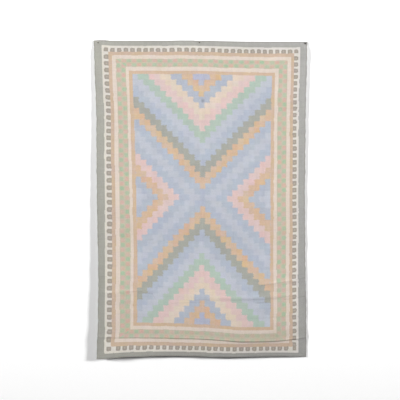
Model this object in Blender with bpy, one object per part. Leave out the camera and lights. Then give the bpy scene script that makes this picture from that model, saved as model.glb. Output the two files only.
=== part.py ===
"""Flat-woven cotton dhurrie rug hanging on three nails.

X runs to the viewer's right, Z runs up and the rug's face looks along -Y. The wall is the plane Y = 0, and
the origin is the point where the middle nail enters it. All sizes are in metres.
"""

import math
from collections import namedtuple

import bmesh
import bpy
from mathutils import Matrix, Vector

RUG_WIDTH = 1.22
RUG_LENGTH = 1.83
CLOTH_THICKNESS = 0.003
# The rug's middle line hangs a little to the right of the middle nail.
RUG_CENTRE_X = 0.0075

COLUMN_PITCH = 0.040
ROW_PITCH = 0.040
# Extra grid lines stand this far to each side of a crease's line, and of a nail.
CREASE_LINES = (-0.030, -0.012, 0.0, 0.009, 0.024)
NAIL_LINES = (-0.028, -0.018, -0.008, 0.008, 0.018, 0.028)
# The nails lie about this fraction of the cloth's length below its top edge.
NAIL_DOWN = 0.006
# Grid lines closer together than this are merged into one.
LINE_GAP = 0.007

NAIL_HEAD_RIM = 0.0007
# The crown of a nail's head rises by this share of its radius.
NAIL_DOME_SHARE = 0.32
NAIL_SHANK_RADIUS = 0.0015
NAIL_IN_WALL = 0.022
NAIL_POINT = 0.004
NAIL_SIDES = 24
CROWN_STEPS = 5
SEAT_GAP = 0.0003
MM = 0.001

# Outline of the hanging cloth, in millimetres. Each side is given as the distance that it lies outside the
# nominal rectangle; down is the fraction of the length from the top edge.
SideRow = namedtuple("SideRow", "down left_out right_out")
SIDES = (
    SideRow(0.00, 7, 5),
    SideRow(0.08, 3, 3),
    SideRow(0.13, 0, 1),
    SideRow(0.18, -4, -2),
    SideRow(0.25, -8, -4),
    SideRow(0.38, -9, -6),
    SideRow(0.50, -11.5, -8),
    SideRow(0.63, -16, -6),
    SideRow(0.73, -20, -5),
    SideRow(0.79, -20, -2),
    SideRow(0.86, -18.5, 0),
    SideRow(0.91, -18, 0),
    SideRow(1.00, -10.5, 0),
)

# Heights of the two ends, in millimetres, measured from the middle nail; across runs from the left side.
EndRow = namedtuple("EndRow", "across height")
TOP_END = (
    EndRow(0.00, 13),
    EndRow(0.03, 15),
    EndRow(0.09, 10),
    EndRow(0.17, 9),
    EndRow(0.31, 9),
    EndRow(0.42, 12),
    EndRow(0.51, 11),
    EndRow(0.62, 7),
    EndRow(0.74, 4),
    EndRow(0.95, 4),
    EndRow(1.00, 6),
)
BOTTOM_END = (
    EndRow(0.00, -1825),
    EndRow(0.03, -1824),
    EndRow(0.07, -1819),
    EndRow(0.13, -1813),
    EndRow(0.22, -1810),
    EndRow(0.30, -1807),
    EndRow(0.40, -1807),
    EndRow(0.49, -1809),
    EndRow(0.59, -1813),
    EndRow(0.69, -1813),
    EndRow(0.78, -1811),
    EndRow(0.88, -1811),
    EndRow(0.97, -1815),
    EndRow(1.00, -1816),
)
# The sharp fold that runs across the rug just above its lower border: its height, and how far it stands out.
FoldRow = namedtuple("FoldRow", "across height ridge")
FOLD_LINE = (
    FoldRow(0.00, -1697, 2.0),
    FoldRow(0.21, -1696, 4.0),
    FoldRow(0.40, -1702, 6.0),
    FoldRow(0.50, -1706, 7.5),
    FoldRow(0.61, -1714, 9.0),
    FoldRow(0.69, -1720, 10.0),
    FoldRow(0.76, -1720, 10.0),
    FoldRow(0.85, -1718, 9.0),
    FoldRow(0.94, -1709, 7.0),
    FoldRow(1.00, -1700, 3.0),
)
# Fraction of the cloth's length at which the fold crosses it.
FOLD_DOWN = 0.942
FOLD_REACH_ABOVE = 0.070
# Just below its crest the fold drops by this share of its ridge, and the rest fades out further down.
FOLD_DROP = 0.65
FOLD_DROP_REACH = 0.009
FOLD_REACH_BELOW = 0.080

# Clear space from the wall to the rug's back, in millimetres, at the top, middle and bottom of its length.
StandRow = namedtuple("StandRow", "across top middle bottom")
STAND_OFF = (
    StandRow(0.00, 5, 12, 20),
    StandRow(0.07, 6, 14, 32),
    StandRow(0.13, 7, 14, 29),
    StandRow(0.25, 7, 13, 23),
    StandRow(0.33, 7, 12, 20),
    StandRow(0.54, 7, 12, 23),
    StandRow(0.66, 7, 11, 24),
    StandRow(0.82, 7, 9, 15),
    StandRow(0.90, 7, 7, 11),
    StandRow(0.96, 6, 6, 6),
    StandRow(1.00, 6, 4, 1),
)
# Beside a nail the cloth keeps this share of its stand-off, out to this share of the nail's grip. Where the
# grip ends it has come forward.
GRIP_SHARE = 0.25
GRIP_CORE = 0.6

# Creases as ridges (+) or troughs (-) with a pointed crest, between two points given as (across, down).
# Height and width are in millimetres, and the width is to where the crease has faded.
Crease = namedtuple("Crease", "start end height width")
MIDDLE_FOLD = Crease((0.505, 0.03), (0.505, 1.00), -1.6, 22)
LOW_RIGHT_WRINKLE = Crease((0.43, 0.815), (0.99, 0.800), 2.6, 26)
UPPER_RIGHT_WRINKLE = Crease((0.78, 0.765), (1.01, 0.754), 2.8, 24)
LOW_LEFT_WRINKLE = Crease((-0.01, 0.802), (0.27, 0.793), 2.0, 24)
WRINKLES = (LOW_RIGHT_WRINKLE, UPPER_RIGHT_WRINKLE, LOW_LEFT_WRINKLE)

# Shallow vertical flutes, in millimetres, that grow from nothing at the nails to full depth lower down.
Flute = namedtuple("Flute", "waves phase depth")
FLUTES = (
    Flute(3.4, 2.1, 1.0),
    Flute(6.3, 4.0, 0.6),
)
FLUTE_START = 0.05
FLUTE_GROWTH = 0.5
# Between two nails the top edge bellies forward by this much, and the belly has faded this far down.
TOP_BELLY = 0.006
TOP_BELLY_FADE = 0.30

# The right nail is a stouter one than the other two.
Nail = namedtuple("Nail", "name x z head_radius grip")
NAILS = (
    Nail("nail_left", -0.585, -0.001, 0.0036, 0.044),
    Nail("nail_middle", 0.000, 0.000, 0.0036, 0.036),
    Nail("nail_right", 0.612, -0.005, 0.0048, 0.026),
)


def clear_scene():
    """Remove every object that the file opened with."""
    for obj in list(bpy.data.objects):
        bpy.data.objects.remove(obj, do_unlink=True)


def make_material(name, colour, roughness, metallic):
    """Return a Principled material with one plain finish."""
    material = bpy.data.materials.new(name)
    material.use_nodes = True
    shader = material.node_tree.nodes["Principled BSDF"]
    shader.inputs["Base Color"].default_value = (*colour, 1.0)
    shader.inputs["Roughness"].default_value = roughness
    shader.inputs["Metallic"].default_value = metallic
    material.diffuse_color = (*colour, 1.0)
    return material


def add_object(name, mesh, material):
    """Put a mesh into the scene under a plain name."""
    obj = bpy.data.objects.new(name, mesh)
    obj.data.materials.append(material)
    bpy.context.scene.collection.objects.link(obj)
    return obj


def smooth_value(rows, column, key):
    """Read a table's column at a key, with a smooth curve through the rows."""
    keys = [row[0] for row in rows]
    values = [getattr(row, column) for row in rows]
    key = min(max(key, keys[0]), keys[-1])
    last = len(keys) - 1
    i = 0
    while i < last - 1 and key > keys[i + 1]:
        i += 1
    span = keys[i + 1] - keys[i]
    part = (key - keys[i]) / span
    slope_in = slope_at(keys, values, i) * span
    slope_out = slope_at(keys, values, i + 1) * span
    square = part * part
    cube = square * part
    return ((2 * cube - 3 * square + 1) * values[i] + (cube - 2 * square + part) * slope_in
            + (3 * square - 2 * cube) * values[i + 1] + (cube - square) * slope_out)


def slope_at(keys, values, i):
    """Slope of the smooth curve at one row: the gentler of its two sides, and none at a peak."""
    if i == 0 or i == len(keys) - 1:
        return 0.0
    before = (values[i] - values[i - 1]) / (keys[i] - keys[i - 1])
    after = (values[i + 1] - values[i]) / (keys[i + 1] - keys[i])
    if before * after <= 0.0:
        return 0.0
    return 2.0 * before * after / (before + after)


def side_x(across, down):
    """Place of a point across the rug, between its two uneven sides."""
    half = RUG_WIDTH / 2
    left = RUG_CENTRE_X - half - smooth_value(SIDES, "left_out", down) * MM
    right = RUG_CENTRE_X + half + smooth_value(SIDES, "right_out", down) * MM
    return left + (right - left) * across


def row_z(across, down):
    """Height of a point: rows run from the top edge to the sharp fold, and from there to the bottom edge."""
    top = smooth_value(TOP_END, "height", across) * MM
    fold = smooth_value(FOLD_LINE, "height", across) * MM
    end = smooth_value(BOTTOM_END, "height", across) * MM
    if down <= FOLD_DOWN:
        return top + (fold - top) * down / FOLD_DOWN
    return fold + (end - fold) * (down - FOLD_DOWN) / (1.0 - FOLD_DOWN)


def crease_profile(distance, width):
    """Height of a crease with a pointed crest, from 1 on its line to 0 at its width."""
    part = min(abs(distance) / width, 1.0)
    return (1.0 - part) ** 2


def crease_height(crease, across, down):
    """Forward shift that one crease gives to a point, in metres."""
    start = Vector((crease.start[0] * RUG_WIDTH, crease.start[1] * RUG_LENGTH))
    end = Vector((crease.end[0] * RUG_WIDTH, crease.end[1] * RUG_LENGTH))
    point = Vector((across * RUG_WIDTH, down * RUG_LENGTH))
    along = end - start
    part = (point - start).dot(along) / along.length_squared
    if part <= 0.0 or part >= 1.0:
        return 0.0
    distance = (point - start - along * part).length
    fade = math.sin(math.pi * part) ** 0.5
    return crease.height * MM * fade * crease_profile(distance, crease.width * MM)


def fold_height(across, down):
    """Forward shift of the sharp fold: a slow rise above its crest and a steep drop just below it."""
    ridge = smooth_value(FOLD_LINE, "ridge", across) * MM
    distance = (down - FOLD_DOWN) * RUG_LENGTH
    if distance < 0.0:
        return ridge * crease_profile(distance, FOLD_REACH_ABOVE)
    drop = max(0.0, 1.0 - distance / FOLD_DROP_REACH)
    return ridge * (FOLD_DROP * drop + (1.0 - FOLD_DROP) * crease_profile(distance, FOLD_REACH_BELOW))


def top_belly(across, down):
    """Forward belly of the top edge between two nails, none at a nail."""
    x = side_x(across, down)
    fade = max(0.0, 1.0 - down * RUG_LENGTH / TOP_BELLY_FADE)
    for left, right in zip(NAILS, NAILS[1:]):
        if left.x < x < right.x:
            part = (x - left.x) / (right.x - left.x)
            return TOP_BELLY * fade * fade * math.sin(math.pi * part) ** 4
    return 0.0


def loose_share(across, down):
    """Share of its stand-off that the cloth keeps: small beside a nail, and whole away from all nails."""
    share = 1.0
    for nail in NAILS:
        away = math.hypot(side_x(across, down) - nail.x, row_z(across, down) - nail.z) / nail.grip
        part = min(max((away - GRIP_CORE) / (1.0 - GRIP_CORE), 0.0), 1.0)
        share *= GRIP_SHARE + (1.0 - GRIP_SHARE) * part * part * (3.0 - 2.0 * part)
    return share


def stand_off(across, down):
    """Clear space between the wall and the rug's back at a point of the cloth."""
    top = smooth_value(STAND_OFF, "top", across)
    middle = smooth_value(STAND_OFF, "middle", across)
    bottom = smooth_value(STAND_OFF, "bottom", across)
    space = top * (1.0 - down) * (1.0 - 2.0 * down) + middle * 4.0 * down * (1.0 - down)
    space = (space + bottom * down * (2.0 * down - 1.0)) * MM * loose_share(across, down)
    grow = min(max(down - FLUTE_START, 0.0) / FLUTE_GROWTH, 1.0)
    for flute in FLUTES:
        space += flute.depth * MM * grow * math.sin(math.tau * flute.waves * across + flute.phase)
    for crease in (MIDDLE_FOLD, *WRINKLES):
        space += crease_height(crease, across, down)
    return space + fold_height(across, down) + top_belly(across, down)


def cloth_point(across, down):
    """Place in the room of a point on the rug's back."""
    return Vector((side_x(across, down), -stand_off(across, down), row_z(across, down)))


def nail_place(nail):
    """Where a nail goes through the cloth, as a fraction across it."""
    left = side_x(0.0, 0.0)
    return (nail.x - left) / (side_x(1.0, 0.0) - left)


def grid_lines(length, pitch, nail_places, crease_places):
    """Fractions of a length where grid lines run: even ones, and closer ones beside each nail and crease."""
    count = round(length / pitch)
    wanted = [0.0, 1.0]
    for place in nail_places:
        wanted += [place + shift / length for shift in NAIL_LINES]
    for place in crease_places:
        wanted += [place + shift / length for shift in CREASE_LINES]
    wanted += [i / count for i in range(1, count)]
    lines = []
    for line in wanted:
        clear = all(abs(line - other) * length > LINE_GAP for other in lines)
        if 0.0 <= line <= 1.0 and clear:
            lines.append(line)
    return sorted(lines)


def build_rug():
    """The woven sheet: a grid over the outline and creases, thickened forward, with a hole at each nail."""
    wrinkle_rows = [(wrinkle.start[1] + wrinkle.end[1]) / 2 for wrinkle in WRINKLES]
    nail_columns = [nail_place(nail) for nail in NAILS]
    across_lines = grid_lines(RUG_WIDTH, COLUMN_PITCH, nail_columns, [MIDDLE_FOLD.start[0]])
    down_lines = grid_lines(RUG_LENGTH, ROW_PITCH, [NAIL_DOWN], [FOLD_DOWN, *wrinkle_rows])
    mesh = bpy.data.meshes.new("rug")
    sheet = bmesh.new()
    points = [[sheet.verts.new(cloth_point(a, d)) for a in across_lines] for d in down_lines]
    for upper, lower in zip(points, points[1:]):
        for i in range(len(across_lines) - 1):
            sheet.faces.new((upper[i], lower[i], lower[i + 1], upper[i + 1]))
    bmesh.ops.recalc_face_normals(sheet, faces=sheet.faces)
    sheet.normal_update()
    if sum(face.normal.y for face in sheet.faces) > 0.0:
        bmesh.ops.reverse_faces(sheet, faces=sheet.faces)
    sheet.to_mesh(mesh)
    sheet.free()
    mesh.shade_smooth()
    cotton = make_material("cotton_weave", (0.62, 0.56, 0.52), 0.92, 0.0)
    rug = add_object("rug", mesh, cotton)
    thicken = rug.modifiers.new("thickness", "SOLIDIFY")
    thicken.thickness = CLOTH_THICKNESS
    thicken.offset = 1.0
    thicken.use_even_offset = True
    for nail in NAILS:
        cut = rug.modifiers.new("hole for " + nail.name, "BOOLEAN")
        cut.operation = "DIFFERENCE"
        cut.solver = "EXACT"
        cut.object = hole_cutter(nail)
    return rug


def hole_cutter(nail):
    """Rod that cuts a nail's hole through the cloth."""
    shape = bmesh.new()
    turn = Matrix.Rotation(math.radians(90), 4, "X")
    bmesh.ops.create_cone(shape, cap_ends=True, segments=NAIL_SIDES, radius1=NAIL_SHANK_RADIUS + SEAT_GAP,
                          radius2=NAIL_SHANK_RADIUS + SEAT_GAP, depth=10 * CLOTH_THICKNESS, matrix=turn)
    mesh = bpy.data.meshes.new("cutter_" + nail.name)
    shape.to_mesh(mesh)
    shape.free()
    cutter = bpy.data.objects.new("cutter_" + nail.name, mesh)
    cutter.location = (nail.x, 0.0, nail.z)
    cutter.hide_render = True
    cutter.display_type = "WIRE"
    bpy.context.scene.collection.objects.link(cutter)
    return cutter


def nail_profile(nail):
    """Half section of a nail as (radius, distance along it), from the crown of its head to its point."""
    face = stand_off(nail_place(nail), NAIL_DOWN) + CLOTH_THICKNESS + SEAT_GAP
    head_radius = nail.head_radius
    rim = face + NAIL_HEAD_RIM
    dome = NAIL_DOME_SHARE * head_radius
    crown = []
    for i in range(CROWN_STEPS + 1):
        angle = math.pi / 2 * i / CROWN_STEPS
        crown.append((head_radius * math.sin(angle), -rim - dome * math.cos(angle)))
    shank = [(head_radius, -face), (NAIL_SHANK_RADIUS, -face),
             (NAIL_SHANK_RADIUS, NAIL_IN_WALL - NAIL_POINT), (0.0, NAIL_IN_WALL)]
    return crown + shank


def build_nail(nail, steel):
    """One nail, turned about its own axis, which runs into the wall."""
    shape = bmesh.new()
    verts = [shape.verts.new((radius, along, 0.0)) for radius, along in nail_profile(nail)]
    edges = [shape.edges.new(pair) for pair in zip(verts, verts[1:])]
    bmesh.ops.spin(shape, geom=verts + edges, cent=(0, 0, 0), axis=(0, 1, 0), angle=math.tau,
                   steps=NAIL_SIDES, use_merge=True)
    bmesh.ops.remove_doubles(shape, verts=shape.verts, dist=1e-6)
    bmesh.ops.recalc_face_normals(shape, faces=shape.faces)
    mesh = bpy.data.meshes.new(nail.name)
    shape.to_mesh(mesh)
    shape.free()
    mesh.shade_smooth()
    mesh.set_sharp_from_angle(angle=math.radians(40))
    obj = add_object(nail.name, mesh, steel)
    obj.location = (nail.x, 0.0, nail.z)
    return obj


def main():
    clear_scene()
    build_rug()
    steel = make_material("dark_steel", (0.035, 0.034, 0.036), 0.45, 0.9)
    for nail in NAILS:
        build_nail(nail, steel)


main()
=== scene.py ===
"""Looks of a flat-woven cotton dhurrie rug that hangs face on from three nails.

The file is laid out as a Blender add-on and is run as a script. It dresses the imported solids: a fine woven
sheet stands for the plain solid of the rug, and the three nails get tarnished steel. Sizes are in metres
unless a comment gives another unit. The wall is the plane Y = 0, the rug's face looks along -Y, and the
origin is the point where the middle nail enters the wall.
"""

import math
from collections import namedtuple

import bpy
import numpy as np
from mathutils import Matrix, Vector


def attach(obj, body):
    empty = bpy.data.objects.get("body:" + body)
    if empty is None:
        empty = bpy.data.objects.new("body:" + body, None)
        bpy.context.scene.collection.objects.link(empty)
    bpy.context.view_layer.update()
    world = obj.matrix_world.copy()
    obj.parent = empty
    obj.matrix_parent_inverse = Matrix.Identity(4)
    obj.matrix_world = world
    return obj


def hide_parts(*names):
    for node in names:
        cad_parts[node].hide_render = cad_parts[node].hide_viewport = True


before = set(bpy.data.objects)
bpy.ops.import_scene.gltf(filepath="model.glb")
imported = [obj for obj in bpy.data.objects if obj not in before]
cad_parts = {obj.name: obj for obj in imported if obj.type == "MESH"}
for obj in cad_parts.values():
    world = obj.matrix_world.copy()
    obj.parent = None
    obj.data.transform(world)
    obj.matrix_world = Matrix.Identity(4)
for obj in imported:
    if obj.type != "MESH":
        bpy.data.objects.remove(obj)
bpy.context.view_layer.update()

bl_info = {
    "name": "Dhurrie rug on nails",
    "version": (1, 0, 0),
    "blender": (4, 5, 0),
    "location": "View3D > Sidebar > Dhurrie",
    "description": "Weaves and hangs a flat-woven cotton rug and lights it against a plain wall",
    "category": "Object",
}

MM = 0.001
TINY = 1e-6


def table(fields, *rows):
    """Rows of values with named columns."""
    row_type = namedtuple("Row", fields)
    return [row_type(*row) for row in rows]


# Shape of the hanging cloth. The tables are those of the solids: across runs from the left side and down from
# the top edge, both as fractions of the cloth, and the other columns are in millimetres.
RUG_CENTRE_X = 0.0075
SIDES = table(
    "down left_out right_out",
    (0.00, 7, 5), (0.08, 3, 3), (0.13, 0, 1), (0.18, -4, -2), (0.25, -8, -4), (0.38, -9, -6),
    (0.50, -11.5, -8), (0.63, -16, -6), (0.73, -20, -5), (0.79, -20, -2), (0.86, -18.5, 0), (0.91, -18, 0),
    (1.00, -10.5, 0),
)
TOP_END = table(
    "across height",
    (0.00, 13), (0.03, 15), (0.09, 10), (0.17, 9), (0.31, 9), (0.42, 12), (0.51, 11), (0.62, 7), (0.74, 4),
    (0.95, 4), (1.00, 6),
)
BOTTOM_END = table(
    "across height",
    (0.00, -1825), (0.03, -1824), (0.07, -1819), (0.13, -1813), (0.22, -1810), (0.30, -1807), (0.40, -1807),
    (0.49, -1809), (0.59, -1813), (0.69, -1813), (0.78, -1811), (0.88, -1811), (0.97, -1815), (1.00, -1816),
)
FOLD_LINE = table(
    "across height ridge",
    (0.00, -1697, 2.0), (0.21, -1696, 4.0), (0.40, -1702, 6.0), (0.50, -1706, 7.5), (0.61, -1714, 9.0),
    (0.69, -1720, 10.0), (0.76, -1720, 10.0), (0.85, -1718, 9.0), (0.94, -1709, 7.0), (1.00, -1700, 3.0),
)
FOLD_DOWN = 0.942
FOLD_REACH_ABOVE = 0.070
FOLD_DROP = 0.65
FOLD_DROP_REACH = 0.009
FOLD_REACH_BELOW = 0.080
# Where the cloth below the fold is longer than its drop, the spare length is tucked in under the fold, which
# then hangs over it as a lip. The lip is this share of the spare length deep.
LIP_SHARE = 0.22
STAND_OFF = table(
    "across top middle bottom",
    (0.00, 5, 12, 20), (0.07, 6, 14, 32), (0.13, 7, 14, 29), (0.25, 7, 13, 23), (0.33, 7, 12, 20),
    (0.54, 7, 12, 23), (0.66, 7, 11, 24), (0.82, 7, 9, 15), (0.90, 7, 7, 11), (0.96, 6, 6, 6),
    (1.00, 6, 4, 1),
)
# Beside a nail the cloth keeps this share of its stand-off, out to this share of the nail's grip. Where the
# grip ends it has come forward.
GRIP_SHARE = 0.25
GRIP_CORE = 0.6
# Creases as ridges (+) or troughs (-) between two points given as (across, down), with a crest that is
# rounded off over a few millimetres. The first four are in the solid too: a trough down the middle, and three
# ridges across.
CREASES = table(
    "start end height width",
    ((0.505, 0.03), (0.505, 1.00), -1.6, 22), ((0.43, 0.815), (0.99, 0.800), 2.6, 26),
    ((0.78, 0.765), (1.01, 0.754), 2.8, 24), ((-0.01, 0.802), (0.27, 0.793), 2.0, 24),
    ((0.28, 0.781), (0.46, 0.786), 1.2, 18), ((0.06, 0.865), (0.33, 0.872), 0.9, 22),
    ((0.60, 0.895), (0.97, 0.884), 1.1, 24), ((0.02, 0.935), (0.26, 0.921), 1.0, 18),
    ((0.10, 0.31), (0.34, 0.34), 0.6, 30), ((0.66, 0.47), (0.93, 0.44), 0.6, 30),
)
SOLID_CREASES = 4
CREST_ROUNDING = 0.0035
FLUTES = table(
    "waves phase depth",
    (3.4, 2.1, 1.0), (6.3, 4.0, 0.6),
)
FLUTE_START = 0.05
FLUTE_GROWTH = 0.5
TOP_BELLY = 0.006
TOP_BELLY_FADE = 0.30
# Low uneven ripples that beating and washing leave in the cloth: waves across and down it, and the depth in
# millimetres.
RIPPLES = table(
    "waves_across waves_down phase depth",
    (1.7, 8.6, 0.4, 0.30), (-2.9, 13.7, 2.0, 0.24), (4.3, 21.1, 1.1, 0.18), (-7.1, 33.4, 3.9, 0.13),
    (11.3, 6.2, 5.1, 0.16), (17.9, -11.8, 0.9, 0.10), (3.1, 52.7, 2.7, 0.09),
)
# The selvedges run in and out by this much, in waves of these lengths.
SELVEDGE_SWAY = 0.0005
SELVEDGE_WAVES = (0.047, 0.083, 0.191)
SELVEDGE_PHASE = 9.0
SELVEDGE_REACH = 0.020
# The outermost warps are doubled, which makes the sides thicker by this share, over this width.
SELVEDGE_CORD = 0.22
SELVEDGE_CORD_WIDTH = 0.0045
# A nail keeps the cloth round it smooth out to this distance.
NAIL_CALM = 0.030
HOLE_HALF = 0.0018

# Painted shade: fine dark lines that stand for the shadows in the cloth's creases, between two points in
# metres across and down the cloth, with how dark each one is.
CREASE_SHADE_LINES = table(
    "start end dark",
    ((0.560, 1.503), (0.880, 1.488), 0.11), ((0.880, 1.488), (1.160, 1.474), 0.12),
    ((0.930, 1.506), (0.985, 1.504), 0.22), ((0.960, 1.404), (1.215, 1.378), 0.14),
    ((1.090, 1.492), (1.215, 1.486), 0.12), ((0.235, 1.466), (0.318, 1.472), 0.13),
    ((0.318, 1.472), (0.335, 1.502), 0.12), ((0.170, 1.462), (0.260, 1.458), 0.12),
    ((0.430, 1.526), (0.600, 1.514), 0.09), ((0.010, 1.372), (0.050, 1.374), 0.11),
    ((0.350, 1.428), (0.500, 1.436), 0.07), ((0.720, 1.606), (1.120, 1.586), 0.06),
)
CREASE_SHADE_HALF = 0.0042

# The grid lines of the sheet stand this far apart, and closer near an edge, fold or crease.
Spot = namedtuple("Spot", "place reach pitch")
LINE_PITCH = 0.0083
EDGE_SPOT_REACH = 0.0012
EDGE_PITCH = 0.0005
FOLD_PITCH = 0.0013
CREASE_PITCH = 0.0030
CREASE_REACH = 0.008
PITCH_GROWTH = 0.45
LINE_SAMPLES = 20001
TUCK_SAMPLES = 101
TUCK_MARGIN = 0.002
NAIL_PASSES = 3
CLOTH_MAP = "cloth"
BAKE_MAP = "OFBake"
BAKE_MARGIN = 0.01
BAKE_HOLE_SIZE = 0.001
BAKE_HOLE_STEP = 3.0

NAILS = table(
    "node x z grip",
    ("nail_left", -0.585, -0.001, 0.044), ("nail_middle", 0.000, 0.000, 0.036),
    ("nail_right", 0.612, -0.005, 0.026),
)

# Woven bands from each edge of the cloth inwards, as the distance in millimetres at which each one ends. The
# order is that of BAND_YARNS.
EDGE_BANDS = table(
    "name ends",
    ("left", (40.5, 52.0, 82.0, 103.5, 127.2, 189.0, 205.8, 228.3)),
    ("right", (37.0, 47.0, 70.5, 87.9, 107.5, 161.8, 180.3, 198.8)),
    ("top", (28.9, 40.0, 63.6, 84.4, 104.0, 152.0, 175.0, 193.0)),
    ("bottom", (28.9, 38.5, 62.4, 82.1, 101.7, 152.0, 172.2, 190.7)),
)
BAND_YARNS = ("slate", "ivory", "ivory", "peach", "cream", "greige", "cream", "tan")
SLATE_BANDS = 1
OUTER_BANDS = 2
TOOTH_BAND = 2
CHECK_BAND = 5
BAND_REACH = 0.24
BAND_ROUNDING = 0.01
# The teeth are spaced unevenly. Each pair is a place along the edge, in millimetres, and how many teeth lie
# before it. Each corner has a tooth of its own besides.
TEETH = {
    "left": ((76, 0.0), (253, 4.5), (411, 8.5), (607, 13.5), (774, 17.5), (1028, 23.5), (1274, 29.5),
             (1524, 35.5), (1755, 41.0)),
    "right": ((79, 0.0), (241, 4.5), (426, 9.5), (620, 14.5), (823, 19.5), (1018, 24.5), (1211, 29.5),
              (1441, 35.5), (1600, 39.5), (1780, 44.0)),
    "top": ((88, 0.0), (297, 5.5), (404, 8.5), (530, 11.5), (719, 16.5), (908, 21.5), (1012, 24.5),
            (1141, 28.0)),
    "bottom": ((106, 0.0), (355, 6.5), (580, 12.5), (762, 17.5), (953, 22.5), (1120, 27.0)),
}
MOST_TEETH = 50
ALONG_SPAN = 2.0
# A tooth is square at its foot and round at its outer end, with a paler core. Its sizes are shares of the
# space between teeth, or of the band's depth.
TOOTH_HALF = 0.345
TOOTH_MIDDLE = 0.62
TOOTH_REACH = 0.60
CORNER_TOOTH_REACH = 0.57
TOOTH_SQUARENESS = 4.0
CORE_MIDDLE = 0.55
CORE_HALF_ALONG = 0.10
CORE_HALF_ACROSS = 0.22
CORNER_CORE_HALF = 0.12
# Checks repeat along each edge, with the first place and the pitch in millimetres.
SIDE_CHECKS = (144.8, 27.5)
END_CHECKS = (198.8, 29.3)
CHECK_HALF_ALONG = 0.42
CHECK_HALF_ACROSS = 0.38
CHECK_CORNER = 0.62
FAINTEST_CHECK = 0.5
# Under the painted shade at the foot, the checks are fainter by this share.
FOOT_SHADE_CHECK_FADE = 0.6
# Steps of the field.
FIELD_COLUMNS = 25
FIELD_ROWS = 43
FIELD_PARTS = 4
# The pattern isn't woven quite straight. At each distance down the cloth it lies this many millimetres above
# its even place, and to the right of it: at the left side, the field's left side, a quarter, half and three
# quarters across the field, its right side and the right side.
DRIFT = table(
    "down rise left field_left quarter middle three_quarters field_right right",
    (0.00, 0.0, 9.0, -17.0, -13.0, -10.0, -5.0, 0.0, -4.0),
    (0.14, 0.5, 8.0, -12.0, -11.5, -11.5, -6.5, -1.5, -5.0),
    (0.26, 3.5, 10.0, -7.5, -9.0, -10.0, -7.0, -4.0, -5.5),
    (0.39, 5.0, 8.0, -1.0, 0.0, -4.5, -5.5, -4.0, -2.5),
    (0.52, 7.0, 7.2, 4.0, 0.0, -5.0, -4.5, -4.0, -2.0),
    (0.65, 5.0, 2.5, 5.0, -8.0, -15.0, -16.0, -9.0, -4.5),
    (0.78, 1.0, 0.0, 0.0, -9.0, -17.5, -21.0, -10.5, -9.0),
    (0.88, -1.0, 0.5, 2.0, -3.0, -17.0, -24.0, -14.5, -10.5),
    (1.00, 0.0, 8.0, -6.0, -7.0, -17.0, -22.0, -12.0, -9.5),
)
# Both ends of the pattern sag towards the foot by this many millimetres, from one side to the other.
SAG = table(
    "across top bottom",
    (0.00, 0.0, 2.0), (0.30, 2.0, 2.0), (0.50, 2.5, 3.0), (0.62, 3.5, 5.0), (0.75, 5.0, 6.0),
    (0.85, 7.0, 4.5), (0.95, 4.0, 5.0), (1.00, 2.0, 5.0),
)
SAG_REACH = 0.40
DRIFT_SPAN = 60.0
# The yarn of each ring of the field: every second step from its middle column and its nearer end.
STEP_YARNS = ("lilac", "apricot", "mist", "cream_step", "pink", "mint", "lavender", "powder", "olive",
              "apricot", "powder", "lavender", "powder", "pink", "apricot", "mist", "lavender")
# Yarn colours as they look in even light, as red, green and blue out of 255.
YARNS = {
    "slate": (175, 174, 168),
    "ivory": (226, 221, 213),
    "cream": (229, 215, 203),
    "peach": (209, 186, 165),
    "greige": (203, 195, 175),
    "tan": (214, 189, 166),
    "lilac": (187, 190, 208),
    "apricot": (217, 190, 165),
    "mist": (186, 192, 204),
    "cream_step": (227, 211, 195),
    "pink": (226, 201, 198),
    "mint": (183, 199, 187),
    "lavender": (197, 201, 211),
    "powder": (186, 193, 206),
    "olive": (173, 174, 166),
    "tooth": (171, 163, 153),
    "tooth_core": (186, 176, 165),
    "check_green": (177, 198, 171),
    "check_pink": (218, 183, 173),
}
# The lights are brighter than even light, and this share of each colour makes up for it.
YARN_DEPTH = 0.72
# The passes of a yarn turn back within the first distance round their step's edge, and end up and down
# within the second.
TURN_JITTER = 0.0075
BEAT_JITTER = 0.0045
# Yarns wander softly round their even place: waves a metre across and down, and how far, in ribs, in passes
# or in metres.
Wander = namedtuple("Wander", "across down seed detail reach")
RIB_WANDER = Wander(7.0, 16.0, 0.0, 2.0, 0.7)
PASS_WANDER = Wander(11.0, 30.0, 3.0, 2.0, 0.9)
WARP_SWAY = Wander(3.0, 14.0, 0.0, 3.0, 0.0090)
WEFT_SWAY = Wander(12.0, 4.0, 5.0, 3.0, 0.0080)
# The painted crease shade wanders in the same way.
CREASE_SHADE_WANDER = Wander(22.0, 22.0, 8.0, 2.0, 0.0080)
# Relief of the weave: the share of a rib's height that goes down between its passes, and the share by which
# passes differ.
OVAL_SHARE = 0.42
SWELL_SHARE = 0.16
# Fuzz on the yarn, and how strongly passes, swells and fuzz change the tone.
FUZZ_SCALE = 1900.0
FUZZ_ROUGHNESS = 0.7
FUZZ_HEIGHT = 0.12
PASS_SEED = 7.0
PASS_TONE = 0.35
SWELL_TONE = 0.5
FUZZ_TONE = 0.6
# Uneven dye, from step to step and from lot to lot: in hue, as a share of the colour circle, and in depth.
HUE_STEP = 0.016
HUE_LOTS = 0.10
DEPTH_STEP = 0.28
DEPTH_LOTS = 1.0
MEAN_DEPTH = 1.05
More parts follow.
